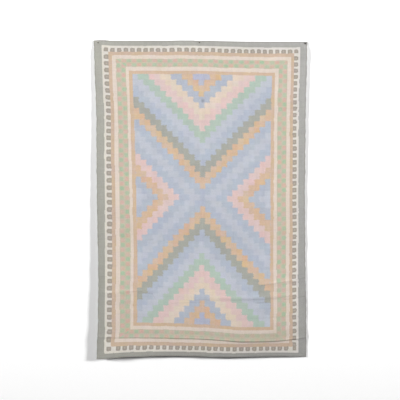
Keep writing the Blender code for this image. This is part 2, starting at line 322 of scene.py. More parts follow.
# Painted light: the yarns are made brighter towards the foot to even out the lamps' falloff, with painted
# shade and light where the cloth rolls across its lower middle, and painted shade just above the sharp fold.
# The slate bands get less of it, so they end up darker towards the foot. Each curve gives, from the top of
# the cloth to its foot, the share of the full gain in brightness.
PAINTED_LIGHT_GAIN = 0.20
PAINTED_LIGHT_YARN = ((0.0, 0.0), (0.2, 0.2), (0.5, 0.6), (0.63, 0.5), (0.73, 0.95), (0.93, 0.6), (0.95, 1.0),
              (1.0, 1.0))
PAINTED_LIGHT_SLATE = ((0.0, 0.0), (0.10, 0.25), (0.50, 0.35), (0.70, 0.30), (0.80, 0.22), (1.0, 0.32))
# Painted shade at the foot, from just above the sharp fold down: none at the left, darkest to right of the
# middle. Each curve gives a share of the full darkening: across the cloth, and down it.
FOOT_SHADE_GAIN = 0.16
FOOT_SHADE_ACROSS = ((0.0, 0.0), (0.15, 0.0), (0.8, 1.0), (1.0, 0.6))
FOOT_SHADE_DOWN = ((0.0, 0.0), (0.90, 0.0), (0.925, 1.0), (1.0, 1.0))

# Uneven tone is noise at three scales, each with its detail and strength. Each kind of it on the cloth has a
# size in metres, and is drawn out in the direction whose number is below 1.
MOTTLES = ((1.0, 2.0, 0.5), (4.3, 3.0, 0.3), (23.0, 2.0, 0.2))
Mottle = namedtuple("Mottle", "across down seed size")
CLOUDS = Mottle(1.0, 1.0, 0.0, 0.30)
STREAKS = Mottle(0.22, 1.0, 2.0, 0.035)
WARP_STREAKS = Mottle(1.0, 0.15, 4.0, 0.022)
DYE_LOTS = Mottle(0.6, 1.0, 6.0, 0.045)
# How strongly each of them, the weave, the steps and the lint change the brightness.
CLOUD_TONE = 0.10
STREAK_TONE = 0.24
WARP_STREAK_TONE = 0.30
WEAVE_TONE = 0.10
STEP_TONE = 0.045
LINT_TONE = 0.16
LINT_SCALE = 130.0
LINT_ROUGHNESS = 0.6
LINT_SEED = 9.0
# Painted light and shade of the weave's relief: what the crest of a rib adds to the brightness, and the
# brightness of a gap.
RIB_LIGHT = 0.20
GAP_LIGHT = 0.86
# Painted shade: the rolled edges are this much darker at their rim. The small grey stain in the rug's middle
# is real.
EDGE_PAINTED_SHADE = 0.32
EDGE_PAINTED_SHADE_REACH = 0.0075
Stain = namedtuple("Stain", "u v reach dark")
STAIN = Stain(0.6215, 0.3487, 0.014, 0.42)
# The outer bands are cooler at the right side than at the left, by this share of their blue.
COOL_TILT = 0.07
COTTON_ROUGHNESS = 0.90
RIB_SMOOTHNESS = 0.06
CLOUD_ROUGHNESS = 0.10

# Nail steel: a clean and a tarnished colour, and its blotches and dents.
WORN_STEEL = ((0.13, 0.115, 0.095, 1.0), (0.06, 0.047, 0.034, 1.0))
DARK_STEEL = ((0.030, 0.027, 0.025, 1.0), (0.016, 0.012, 0.009, 1.0))
BLOTCH_SIZE = 0.004
BLOTCH_CONTRAST = 2.4
DENT_SIZE = 0.0015
DENT_DEPTH = 0.0002
DENT_STRENGTH = 0.6
CLEAN_ROUGHNESS = 0.42
TARNISH_ROUGHNESS = 0.25
DENT_ROUGHNESS = 0.2
CLEAN_METAL = 0.85
TARNISH_METAL = 0.5

# Stage, in metres, with the lamps' spread in degrees.
WALL_SIZE = (9.0, 7.0)
WALL_PLACE = (0.0, 0.0, -0.9)
WALL_GLOW = 0.015
FLOOR_SIZE = (16.0, 16.0)
FLOOR_PLACE = (0.0, 0.0, -2.45)
FLOOR_COLOUR = (0.80, 0.80, 0.79, 1.0)
FLOOR_THROW = (0.10, 0.10, 0.10, 1.0)
WHITE = (1.0, 1.0, 1.0, 1.0)
# The lamp at the right. The one at the left mirrors it.
LAMP_PLACE = (19.5, -7.0, 2.85)
LAMP_TARGET = (0.0, 0.0, 1.6)
LAMP_SIZE = 2.6
LAMP_SPREAD = 40.0
REAR_LAMP_PLACE = (0.0, 3.4, -0.9)
REAR_LAMP_SIZE = 1.0
# Strength of the backdrop that only the camera sees.
BACKDROP = 0.72

# Layout of the nodes in a tree.
NODE_ROWS = 9
NODE_STEP = (190, 150)


def linear(value):
    """Light from 0 to 1 of a colour value from 0 to 255."""
    share = value / 255
    return share / 12.92 if share <= 0.04045 else ((share + 0.055) / 1.055) ** 2.4


def yarn(name):
    """Linear colour of a yarn, with alpha."""
    return (*(YARN_DEPTH * linear(value) for value in YARNS[name]), 1.0)


class DhurrieSettings(bpy.types.PropertyGroup):
    """Sizes and finish of the rug."""

    width: bpy.props.FloatProperty(
        name="Width", description="Width of the cloth laid flat", default=1.22, unit="LENGTH")
    length: bpy.props.FloatProperty(
        name="Length", description="Length of the cloth laid flat", default=1.83, unit="LENGTH")
    thickness: bpy.props.FloatProperty(
        name="Thickness", description="Thickness of the flat weave", default=0.003, unit="LENGTH")
    rib: bpy.props.FloatProperty(
        name="Rib", description="Distance between two warps, each of which shows as a rib", default=0.0034,
        unit="LENGTH")
    pick: bpy.props.FloatProperty(
        name="Pick", description="Distance between two passes of the weft over one warp", default=0.0021,
        unit="LENGTH")
    relief: bpy.props.FloatProperty(
        name="Relief", description="Height of the ribs over the gaps between them", default=0.0006,
        unit="LENGTH")


class DhurrieStage(bpy.types.PropertyGroup):
    """Camera, lights and backdrop."""

    camera_distance: bpy.props.FloatProperty(
        name="Camera distance", description="Distance from the camera to the rug", default=4.5, unit="LENGTH")
    view_width: bpy.props.FloatProperty(
        name="View width", description="Width that the picture takes in at the rug", default=2.312,
        unit="LENGTH")
    view_centre: bpy.props.FloatVectorProperty(
        name="View centre", description="X and Z of the middle of the picture", size=2,
        default=(0.0035, -0.909))
    side_power: bpy.props.FloatProperty(
        name="Side light", description="Power of each of the two side lights", default=470.0, unit="POWER")
    rear_power: bpy.props.FloatProperty(
        name="Rear light", description="Power of the light behind the wall, for views of the rug's back",
        default=150.0, unit="POWER")
    ambient: bpy.props.FloatProperty(
        name="Ambient", description="Strength of the light from all round", default=0.085)


def wire_step(operation):
    """Method that adds one Math node, for a sum of wires and numbers."""
    return lambda wire, *others: wire.bench.math(operation, wire, *others)


class Wire:
    """A node's output that can be reckoned with as a number. Each step adds one Math node."""

    def __init__(self, bench, socket):
        self.bench = bench
        self.socket = socket

    def __rsub__(self, other):
        return self.bench.math("SUBTRACT", other, self)

    __add__ = wire_step("ADD")
    __sub__ = wire_step("SUBTRACT")
    __mul__ = wire_step("MULTIPLY")
    __truediv__ = wire_step("DIVIDE")
    __pow__ = wire_step("POWER")
    __abs__ = wire_step("ABSOLUTE")
    __lt__ = wire_step("LESS_THAN")
    __gt__ = wire_step("GREATER_THAN")
    floor = wire_step("FLOOR")
    fract = wire_step("FRACT")
    smaller = wire_step("MINIMUM")
    larger = wire_step("MAXIMUM")


class Bench:
    """Adds nodes to one tree. A value for a socket is linked where it is a wire, and set where it isn't."""

    def __init__(self, tree):
        self.tree = tree

    def feed(self, socket, value):
        if isinstance(value, Wire):
            self.tree.links.new(value.socket, socket)
        elif value is not None:
            socket.default_value = value

    def add(self, kind, *values, **settings):
        node = self.tree.nodes.new(kind)
        column, row = divmod(len(self.tree.nodes), NODE_ROWS)
        node.location = (NODE_STEP[0] * column, -NODE_STEP[1] * row)
        for name, value in settings.items():
            setattr(node, name, value)
        for socket, value in zip(node.inputs, values):
            self.feed(socket, value)
        return node

    def out(self, node, index=0):
        return Wire(self, node.outputs[index])

    def math(self, operation, *values):
        return self.out(self.add("ShaderNodeMath", *values, operation=operation))

    def pick(self, mask, low, high):
        """low where the mask is 0 and high where it is 1, as numbers."""
        node = self.add("ShaderNodeMix", mask, data_type="FLOAT")
        self.feed(node.inputs[2], low)
        self.feed(node.inputs[3], high)
        return self.out(node)

    def dye(self, mask, under, over, blend="MIX"):
        """Colour over laid on colour under where the mask is 1."""
        node = self.add("ShaderNodeMix", mask, data_type="RGBA", blend_type=blend)
        self.feed(node.inputs[6], under)
        self.feed(node.inputs[7], over)
        return self.out(node, 2)

    def point(self, x, y, z=0.0):
        return self.out(self.add("ShaderNodeCombineXYZ", x, y, z))

    def noise(self, place, scale, detail=2.0, roughness=0.5):
        """Soft noise around 0, of a point in space."""
        node = self.add("ShaderNodeTexNoise", place)
        node.inputs["Scale"].default_value = scale
        node.inputs["Detail"].default_value = detail
        node.inputs["Roughness"].default_value = roughness
        return self.out(node) - 0.5

    def chance(self, place):
        """Even chance number from 0 to 1 for each whole place."""
        node = self.add("ShaderNodeTexWhiteNoise", place, noise_dimensions="3D")
        return self.out(node)

    def strip(self, factor, colours):
        """One plain colour for each equal part of the factor's range from 0 to 1."""
        node = self.add("ShaderNodeValToRGB", factor)
        ramp = node.color_ramp
        ramp.interpolation = "CONSTANT"
        while len(ramp.elements) < len(colours):
            ramp.elements.new(1.0)
        for i, colour in enumerate(colours):
            ramp.elements[i].position = i / len(colours)
            ramp.elements[i].color = colour
        return self.out(node)

    def bend(self, factor, points):
        """Straight pieces through (x, y) points, both from 0 to 1."""
        node = self.add("ShaderNodeFloatCurve")
        self.feed(node.inputs[1], factor)
        curve = node.mapping.curves[0]
        while len(curve.points) < len(points):
            curve.points.new(0.5, 0.5)
        for knot, place in zip(curve.points, points):
            knot.location = place
            knot.handle_type = "VECTOR"
        node.mapping.extend = "HORIZONTAL"
        node.mapping.update()
        return self.out(node)


def new_group(name, inputs, outputs):
    """Node group with number inputs, given as names and defaults, and outputs, given as names and kinds."""
    tree = bpy.data.node_groups.new(name, "ShaderNodeTree")
    for label, default in inputs.items():
        socket = tree.interface.new_socket(name=label, in_out="INPUT", socket_type="NodeSocketFloat")
        socket.default_value = default
    for label, kind in outputs.items():
        tree.interface.new_socket(name=label, in_out="OUTPUT", socket_type="NodeSocket" + kind)
    bench = Bench(tree)
    source = bench.add("NodeGroupInput")
    wires = [bench.out(source, i) for i in range(len(inputs))]
    return bench, wires


def use_group(bench, name, *values):
    """Places a node group in a tree and returns its outputs."""
    node = bench.add("ShaderNodeGroup", node_tree=bpy.data.node_groups[name])
    for socket, value in zip(node.inputs, values):
        bench.feed(socket, value)
    return [bench.out(node, i) for i in range(len(node.outputs))]


def new_material(name):
    """Material with a Principled shader, and a bench for its tree."""
    material = bpy.data.materials.new(name)
    material.use_nodes = True
    bench = Bench(material.node_tree)
    return material, bench, material.node_tree.nodes["Principled BSDF"]


def group_mottling():
    """Uneven tone at three sizes: clouds, blotches and grain, around 0."""
    bench, (x, y, z, size) = new_group("mottling", {"X": 0.0, "Y": 0.0, "Z": 0.0, "Size": 0.1},
                                       {"Tone": "Float"})
    place = bench.point(x / size, y / size, z / size)
    tone = 0.0
    for scale, detail, strength in MOTTLES:
        tone = bench.noise(place, scale, detail) * strength + tone
    bench.add("NodeGroupOutput", tone)


def mottled(bench, kind, u, v):
    """Uneven tone of one kind on the cloth."""
    return use_group(bench, "mottling", u * kind.across, v * kind.down, kind.seed, kind.size)[0]


def wander(bench, kind, u, v):
    """How far a yarn has wandered from its even place."""
    place = bench.point(u * kind.across, v * kind.down, kind.seed)
    return bench.noise(place, 1.0, kind.detail) * kind.reach


def half_round(place):
    """Round profile over each whole place, from 0 at its ends to 1 in its middle."""
    side = place.fract() * 2.0 - 1.0
    return (1.0 - side * side).larger(0.0) ** 0.5


def group_flat_weave():
    """Ribs along the warps, packed with ovals of weft. Height runs from 0 to 1, and tone around 0."""
    bench, (u, v, rib, pick) = new_group("flat weave", {"U": 0.0, "V": 0.0, "Rib": 0.0034, "Pick": 0.0021},
                                         {"Height": "Float", "Tone": "Float"})
    warp = u / rib + wander(bench, RIB_WANDER, u, v)
    warp_number = warp.floor()
    weft = v / pick + warp_number * 0.5 + wander(bench, PASS_WANDER, u, v)
    swell = bench.chance(bench.point(warp_number, weft.floor()))
    height = half_round(warp) * (half_round(weft) * OVAL_SHARE + (1.0 - OVAL_SHARE))
    height = height * (swell * SWELL_SHARE + (1.0 - SWELL_SHARE))
    fuzz = bench.noise(bench.point(u, v), FUZZ_SCALE, 2.0, FUZZ_ROUGHNESS)
    pass_tone = bench.chance(bench.point((v / pick * 0.5).floor(), PASS_SEED)) - 0.5
    tone = pass_tone * PASS_TONE + (swell - 0.5) * SWELL_TONE + fuzz * FUZZ_TONE
    bench.add("NodeGroupOutput", height + fuzz * FUZZ_HEIGHT, tone)


def group_bands():
    """How many bands in from the edge a place lies, with a fraction, and the teeth and checks before it."""
    bench, (left, right, top, bottom, across, down) = new_group(
        "border bands", dict.fromkeys(("Left", "Right", "Top", "Bottom", "Across", "Down"), 0.0),
        {"Band": "Float", "Further": "Float", "Tooth": "Float", "Check": "Float"})
    counts = []
    for edge, distance in zip(EDGE_BANDS, (left, right, top, bottom)):
        bands = len(edge.ends)
        knots = [(end * MM / BAND_REACH, (i + 1) / bands) for i, end in enumerate(edge.ends)]
        counts.append(bench.bend(distance / BAND_REACH, [(0.0, 0.0), *knots, (1.0, 1.0)]) * bands)
    side = counts[0].smaller(counts[1])
    end = counts[2].smaller(counts[3])
    on_side = side < end
    teeth = {}
    for name, distance in (("left", down), ("right", down), ("top", across), ("bottom", across)):
        knots = [(place * MM / ALONG_SPAN, number / MOST_TEETH) for place, number in TEETH[name]]
        teeth[name] = bench.bend(distance / ALONG_SPAN, knots) * MOST_TEETH
    side_teeth = bench.pick(left < right, teeth["right"], teeth["left"])
    end_teeth = bench.pick(top < bottom, teeth["bottom"], teeth["top"])
    checks = [(distance - first * MM) / (pitch * MM) + 0.5
              for distance, (first, pitch) in ((across, END_CHECKS), (down, SIDE_CHECKS))]
    bench.add("NodeGroupOutput", side.smaller(end), side.larger(end),
              bench.pick(on_side, end_teeth, side_teeth), bench.pick(on_side, *checks))


def round_rim(across, half_across, along, half_along):
    """Rim of a square with round corners: below 1 inside it."""
    return (across / half_across) ** TOOTH_SQUARENESS + (along / half_along) ** TOOTH_SQUARENESS


def lay_teeth(bench, colour, number, depth, further, tooth_place):
    """Row of teeth with paler cores, and one more in each corner."""
    in_teeth = abs(number - TOOTH_BAND) < 0.5
    in_corner = in_teeth * (abs(further.floor() - TOOTH_BAND) < 0.5)
    side = abs(tooth_place.fract() - 0.5)
    outward = (TOOTH_MIDDLE - depth).larger(0.0)
    corner_outward = (TOOTH_MIDDLE - further.fract()).larger(0.0)
    tooth_rim = bench.pick(in_corner, round_rim(side, TOOTH_HALF, outward, TOOTH_REACH),
                           round_rim(outward, CORNER_TOOTH_REACH, corner_outward, CORNER_TOOTH_REACH))
    colour = bench.dye(in_teeth * (tooth_rim < 1.0), colour, yarn("tooth"))
    core = abs(depth - CORE_MIDDLE)
    core_rim = bench.pick(in_corner, (side / CORE_HALF_ALONG).larger(core / CORE_HALF_ACROSS),
                          core.larger(abs(further.fract() - CORE_MIDDLE)) / CORNER_CORE_HALF)
    return bench.dye(in_teeth * (core_rim < 1.0), colour, yarn("tooth_core"))


def lay_checks(bench, colour, number, depth, check_place, foot_shade):
    """Two rows of small checks in two yarns by turns, fainter under the painted shade at the foot."""
    in_checks = abs(number - CHECK_BAND) < 0.5
    row = (depth > 0.5) * 1.0
    side = abs(check_place.fract() - 0.5)
    across = abs((depth * 2.0).fract() - 0.5)
    rim = (side / CHECK_HALF_ALONG).larger(across / CHECK_HALF_ACROSS).larger((side + across) / CHECK_CORNER)
    odd = ((check_place.floor() + row) / 2.0).fract() > 0.25
    check = bench.dye(odd, yarn("check_green"), yarn("check_pink"))
    chance = bench.chance(bench.point(check_place.floor(), row))
    strength = (chance * (1.0 - FAINTEST_CHECK) + FAINTEST_CHECK) * (1.0 - foot_shade * FOOT_SHADE_CHECK_FADE)
    return bench.dye(in_checks * (rim < 1.0) * strength, colour, check)


def border_colour(bench, band, further, tooth_place, check_place, foot_shade):
    """Colour of the border: plain bands, one with a row of teeth and one with two rows of small checks."""
    number = band.floor()
    depth = band.fract()
    colour = bench.strip((number + 0.5) / len(BAND_YARNS), [yarn(name) for name in BAND_YARNS])
    colour = lay_teeth(bench, colour, number, depth, further, tooth_place)
    return lay_checks(bench, colour, number, depth, check_place, foot_shade)


def field_colour(bench, column_place, row_place):
    """Colour of the stepped field, and two numbers that differ from step to step."""
    column = column_place.floor()
    row = row_place.floor()
    from_middle = abs(column - (FIELD_COLUMNS - 1) / 2)
    half_rows = (FIELD_ROWS - 1) / 2
    from_end = half_rows - abs(row - half_rows)
    ring = ((from_middle + from_end) / 2.0).floor()
    colour = bench.strip((ring + 0.5) / len(STEP_YARNS), [yarn(name) for name in STEP_YARNS])
    first_chance = bench.chance(bench.point(column, row, 1.0)) - 0.5
    second_chance = bench.chance(bench.point(row, column)) - 0.5
    return colour, first_chance, second_chance


def painted_crease_shade(bench, u, v):
    """Painted shade along the creases, from 0 to about 0.2."""
    shade = 0.0
    for line in CREASE_SHADE_LINES:
        run = line.end[0] - line.start[0]
        drop = line.end[1] - line.start[1]
        length = math.hypot(run, drop)
        along = ((u - line.start[0]) * (run / length) + (v - line.start[1]) * (drop / length)) / length
        past = (abs(along - 0.5) - 0.5).larger(0.0) * length
        aside = (u - line.start[0]) * (drop / length) - (v - line.start[1]) * (run / length)
        reach = bench.math("SQRT", aside * aside + past * past)
        shade = (1.0 - reach / CREASE_SHADE_HALF).larger(0.0) * line.dark + shade
    return shade


def drift_curve(bench, rows, share, column):
    """Drift in metres that one column of a table gives along the cloth."""
    knots = [(row[0], getattr(row, column) / DRIFT_SPAN + 0.5) for row in rows]
    return (bench.bend(share, knots) - 0.5) * (DRIFT_SPAN * MM)


def pattern_drift(bench, settings, u, v):
    """How far the pattern has drifted across the cloth and down it at a place."""
    down = v / settings.length
    left, right, _, _ = (edge.ends[-1] * MM for edge in EDGE_BANDS)
    part = (settings.width - left - right) / FIELD_PARTS
    lines = (0.0, *(left + part * i for i in range(FIELD_PARTS + 1)), settings.width)
    first, *columns = DRIFT[0]._fields[2:]
    drift_u = drift_curve(bench, DRIFT, down, first)
    for i, column in enumerate(columns):
        share = ((u - lines[i]) / (lines[i + 1] - lines[i])).larger(0.0).smaller(1.0)
        drift_u = bench.pick(share, drift_u, drift_curve(bench, DRIFT, down, column))
    drift_v = drift_curve(bench, DRIFT, down, "rise") * -1.0
    for column, from_end in (("top", v), ("bottom", settings.length - v)):
        weight = (1.0 - from_end / SAG_REACH).larger(0.0)
        drift_v = drift_v + drift_curve(bench, SAG, u / settings.width, column) * weight
    return drift_u, drift_v


def pattern_colour(bench, settings, u, v, foot_shade):
    """Colour of the pattern, the band that a place lies in, and two chance numbers of its step."""
    warp_u = ((u / settings.rib).floor() + 0.5) * settings.rib
    weft_v = ((v / settings.pick).floor() + 0.5) * settings.pick
    yarn_u = warp_u + wander(bench, WARP_SWAY, u, weft_v)
    yarn_v = weft_v + wander(bench, WEFT_SWAY, warp_u, v)
    turn = (bench.chance(bench.point(weft_v / settings.pick, 1.0)) - 0.5) * TURN_JITTER
    beat = (bench.chance(bench.point(warp_u / settings.rib, 2.0)) - 0.5) * BEAT_JITTER
    drift_u, drift_v = pattern_drift(bench, settings, u, v)
    cloth_u = yarn_u - drift_u
    cloth_v = yarn_v - drift_v
    band, further, tooth_place, check_place = use_group(
        bench, "border bands", cloth_u, settings.width - cloth_u, cloth_v, settings.length - cloth_v,
        yarn_u, yarn_v)
    border = border_colour(bench, band, further, tooth_place, check_place, foot_shade)
    left, right, top, bottom = (edge.ends[-1] * MM for edge in EDGE_BANDS)
    column_place = (cloth_u + turn - left) / ((settings.width - left - right) / FIELD_COLUMNS)
    row_place = (cloth_v + beat - top) / ((settings.length - top - bottom) / FIELD_ROWS)
    field, depth_chance, hue_chance = field_colour(bench, column_place, row_place)
    in_field = band > len(BAND_YARNS) - BAND_ROUNDING
    return bench.dye(in_field, border, field), band, depth_chance * in_field, hue_chance * in_field


def uneven_dye(bench, colour, u, v, depth_chance, hue_chance):
    """Colour whose hue and depth differ from step to step and from lot to lot."""
    lots = mottled(bench, DYE_LOTS, u, v)
    hue = hue_chance * HUE_STEP + lots * HUE_LOTS + 0.5
    depth = depth_chance * DEPTH_STEP + lots * DEPTH_LOTS + MEAN_DEPTH
    return bench.out(bench.add("ShaderNodeHueSaturation", hue, depth, 1.0, 1.0, colour))


def painted_light_down(bench, down, band):
    """Painted light: gain in brightness at a distance down the cloth, which evens out the lamps' falloff."""
    in_slate = band < SLATE_BANDS
    return bench.pick(in_slate, bench.bend(down, PAINTED_LIGHT_YARN), bench.bend(down, PAINTED_LIGHT_SLATE)) * PAINTED_LIGHT_GAIN


def streaky_tone(bench, u, v, clouds, weave_tone):
    """Clouds, streaks, the yarns' own tone and lint, around 0."""
    streaks = mottled(bench, STREAKS, u, v)
    warp_streaks = mottled(bench, WARP_STREAKS, u, v)
    lint = bench.noise(bench.point(u, v, LINT_SEED), LINT_SCALE, 2.0, LINT_ROUGHNESS)
    tone = clouds * CLOUD_TONE + streaks * STREAK_TONE + warp_streaks * WARP_STREAK_TONE
    return tone + weave_tone * WEAVE_TONE + lint * LINT_TONE


def stain_and_painted_shade(bench, settings, u, v):
    """Painted shade of the rolled edges and of the creases, and the small real stain, as a factor."""
    edge = u.smaller(settings.width - u).smaller(v).smaller(settings.length - v)
    # Painted shade at the rim of the rolled edges.
    edge_shade = 1.0 - (1.0 - edge / EDGE_PAINTED_SHADE_REACH).larger(0.0) * EDGE_PAINTED_SHADE
    reach = bench.math("SQRT", (u - STAIN.u) ** 2.0 + (v - STAIN.v) ** 2.0)
    stain_shade = 1.0 - (1.0 - reach / STAIN.reach).larger(0.0) * STAIN.dark
    crease_shade_factor = 1.0 - painted_crease_shade(bench, u, v + wander(bench, CREASE_SHADE_WANDER, u, v))
    return edge_shade * stain_shade * crease_shade_factor


def add_bump(bench, shader, height, strength, depth):
    """Relief of the given depth in metres."""
    bump = bench.add("ShaderNodeBump")
    bump.inputs["Strength"].default_value = strength
    bump.inputs["Distance"].default_value = depth
    bench.feed(bump.inputs["Height"], height)
    bench.feed(shader.inputs["Normal"], bench.out(bump))


def cotton_material(settings):
    """Flat-woven cotton: the pattern in dyed yarns, the weave's relief, the small stain, and painted light
    and shade.
    """
    material, bench, shader = new_material("cotton_weave")
    uv_map = bench.add("ShaderNodeUVMap", uv_map=CLOTH_MAP)
    split = bench.add("ShaderNodeSeparateXYZ", bench.out(uv_map))
    u, v = (bench.out(split, i) for i in range(2))
    across = u / settings.width
    down = v / settings.length
    height, weave_tone = use_group(bench, "flat weave", u, v, settings.rib, settings.pick)
    # Painted shade at the foot, from just above the sharp fold down, darkest right of the middle.
    foot_shade = bench.bend(across, FOOT_SHADE_ACROSS) * bench.bend(down, FOOT_SHADE_DOWN)
    colour, band, depth_chance, hue_chance = pattern_colour(bench, settings, u, v, foot_shade)
    colour = uneven_dye(bench, colour, u, v, depth_chance, hue_chance)
    clouds = mottled(bench, CLOUDS, u, v)
    tone = streaky_tone(bench, u, v, clouds, weave_tone) + depth_chance * STEP_TONE
    # Painted light towards the foot, and painted shade at the foot below the fold.
    tone = tone + painted_light_down(bench, down, band) - foot_shade * FOOT_SHADE_GAIN
    shade = (tone + 1.0) * (height * RIB_LIGHT + GAP_LIGHT) * stain_and_painted_shade(bench, settings, u, v)
    cool = (across - 0.5) * (band < OUTER_BANDS) * COOL_TILT + 1.0
    grey = bench.out(bench.add("ShaderNodeCombineColor", shade, shade, shade * cool))
    bench.feed(shader.inputs["Base Color"], bench.dye(1.0, colour, grey, "MULTIPLY"))
    bench.feed(shader.inputs["Roughness"],
               COTTON_ROUGHNESS - height * RIB_SMOOTHNESS + clouds * CLOUD_ROUGHNESS)
    add_bump(bench, shader, height, 1.0, settings.relief)
    shader.inputs["Sheen Weight"].default_value = 0.10
    shader.inputs["Sheen Roughness"].default_value = 0.6
    shader.inputs["Specular IOR Level"].default_value = 0.25
    return material


def steel_material(name, clean, tarnished):
    """Nail steel: a clean tone and a tarnished one in blotches, with fine scratches and dents."""
    material, bench, shader = new_material(name)
    where = bench.add("ShaderNodeTexCoord")
    split = bench.add("ShaderNodeSeparateXYZ", Wire(bench, where.outputs["Object"]))
    place = [bench.out(split, i) for i in range(3)]
    blotches, = use_group(bench, "mottling", *place, BLOTCH_SIZE)
    dents, = use_group(bench, "mottling", *place, DENT_SIZE)
    tarnish = (blotches * BLOTCH_CONTRAST + 0.5).larger(0.0).smaller(1.0)
    bench.feed(shader.inputs["Base Color"], bench.dye(tarnish, clean, tarnished))
    bench.feed(shader.inputs["Roughness"],
               tarnish * TARNISH_ROUGHNESS + CLEAN_ROUGHNESS + dents * DENT_ROUGHNESS)
    bench.feed(shader.inputs["Metallic"], CLEAN_METAL - tarnish * TARNISH_METAL)
    add_bump(bench, shader, dents, DENT_STRENGTH, DENT_DEPTH)
    return material


def curve_value(rows, column, places):
    """Reads a table's column at many places, with a smooth curve through the rows that has no overshoot."""
    keys = np.array([row[0] for row in rows], float)
    values = np.array([getattr(row, column) for row in rows], float)
    spans = np.diff(keys)
    rises = np.diff(values) / spans
    before, after = rises[:-1], rises[1:]
    turning = before * after <= 0.0
    total = np.where(turning, 1.0, before + after)
    slopes = np.zeros(len(keys))
    slopes[1:-1] = np.where(turning, 0.0, 2.0 * before * after / total)
    places = np.clip(places, keys[0], keys[-1])
    i = np.clip(np.searchsorted(keys, places) - 1, 0, len(keys) - 2)
    part = (places - keys[i]) / spans[i]
    square = part * part
    cube = square * part
    return ((2 * cube - 3 * square + 1) * values[i] + (cube - 2 * square + part) * slopes[i] * spans[i]
            + (3 * square - 2 * cube) * values[i + 1] + (cube - square) * slopes[i + 1] * spans[i])


def smooth_step(part):
    """Rise from 0 to 1 that starts and ends level."""
    return part * part * (3.0 - 2.0 * part)


def side_x(width, across, down):
    """Places across the rug, between its two uneven sides."""
    left = RUG_CENTRE_X - width / 2 - curve_value(SIDES, "left_out", down) * MM
    right = RUG_CENTRE_X + width / 2 + curve_value(SIDES, "right_out", down) * MM
    return left + (right - left) * across


def row_z(length, across, down):
    """Heights down the rug: even rows to the sharp fold, a tuck under it, and even rows below."""
    top = curve_value(TOP_END, "height", across) * MM
    fold = curve_value(FOLD_LINE, "height", across) * MM
    end = curve_value(BOTTOM_END, "height", across) * MM
    above = np.minimum(down / FOLD_DOWN, 1.0)
    below = np.maximum(down - FOLD_DOWN, 0.0) * length
    flat = (1.0 - FOLD_DOWN) * length
    tuck = tuck_length(length, across)
    free = np.maximum(below - tuck, 0.0) / (flat - tuck)
    lip = tuck * LIP_SHARE * np.sin(math.pi * np.clip(below / np.maximum(tuck, TINY), 0.0, 1.0))
    return top + (fold - top) * above + (end - fold) * free - lip


def tuck_length(length, across):
    """Length of cloth that is tucked in under the sharp fold."""
    drop = (curve_value(FOLD_LINE, "height", across) - curve_value(BOTTOM_END, "height", across)) * MM
    return np.maximum((1.0 - FOLD_DOWN) * length - drop, 0.0)


def crest(distance, width):
    """Height of a crease from 1 on its line to 0 at its width, with its crest rounded off."""
    rounded = np.sqrt(distance * distance + CREST_ROUNDING * CREST_ROUNDING) - CREST_ROUNDING
    return (1.0 - np.minimum(rounded / width, 1.0)) ** 2


def crease_height(settings, crease, across, down):
    """Forward shift that one crease gives to the cloth."""
    size = np.array((settings.width, settings.length))
    start = np.array(crease.start) * size
    along = np.array(crease.end) * size - start
    u = across * settings.width - start[0]
    v = down * settings.length - start[1]
    squared = along @ along
    part = np.clip((u * along[0] + v * along[1]) / squared, 0.0, 1.0)
    distance = abs(u * along[1] - v * along[0]) / math.sqrt(squared)
    fade = np.sqrt(np.maximum(np.sin(math.pi * part), 0.0))
    return crease.height * MM * fade * crest(distance, crease.width * MM)


def fold_height(length, across, down):
    """Forward shift of the sharp fold: a slow rise above its crest and a drop into the tuck below it."""
    ridge = curve_value(FOLD_LINE, "ridge", across) * MM
    distance = (down - FOLD_DOWN) * length
    reach = np.maximum(FOLD_DROP_REACH, tuck_length(length, across))
    part = np.clip(distance / reach, 0.0, 1.0)
    drop = 1.0 - smooth_step(part)
    above = (1.0 - np.clip(-distance / FOLD_REACH_ABOVE, 0.0, 1.0)) ** 2
    below = FOLD_DROP * drop + (1.0 - FOLD_DROP) * crest(distance, FOLD_REACH_BELOW)
    return ridge * np.where(distance < 0.0, above, below)


def top_belly(x, down_length):
    """Forward belly of the top edge between two nails."""
    fade = np.maximum(0.0, 1.0 - down_length / TOP_BELLY_FADE)
    shift = np.zeros(np.broadcast(x, down_length).shape)
    for left, right in zip(NAILS, NAILS[1:]):
        part = np.clip((x - left.x) / (right.x - left.x), 0.0, 1.0)
        shift += TOP_BELLY * fade * fade * np.sin(math.pi * part) ** 4
    return shift


def nail_calm(x, z):
    """0 at a nail and 1 away from all of them."""
    calm = np.ones(x.shape)
    for nail in NAILS:
        calm *= 1.0 - np.exp(-((x - nail.x) ** 2 + (z - nail.z) ** 2) / NAIL_CALM ** 2)
    return calm


def loose_share(x, z):
    """Share of its stand-off that the cloth keeps: small beside a nail, and whole away from all nails."""
    share = np.ones(x.shape)
    for nail in NAILS:
        away = np.hypot(x - nail.x, z - nail.z) / nail.grip
        part = np.clip((away - GRIP_CORE) / (1.0 - GRIP_CORE), 0.0, 1.0)
        share *= GRIP_SHARE + (1.0 - GRIP_SHARE) * smooth_step(part)
    return share


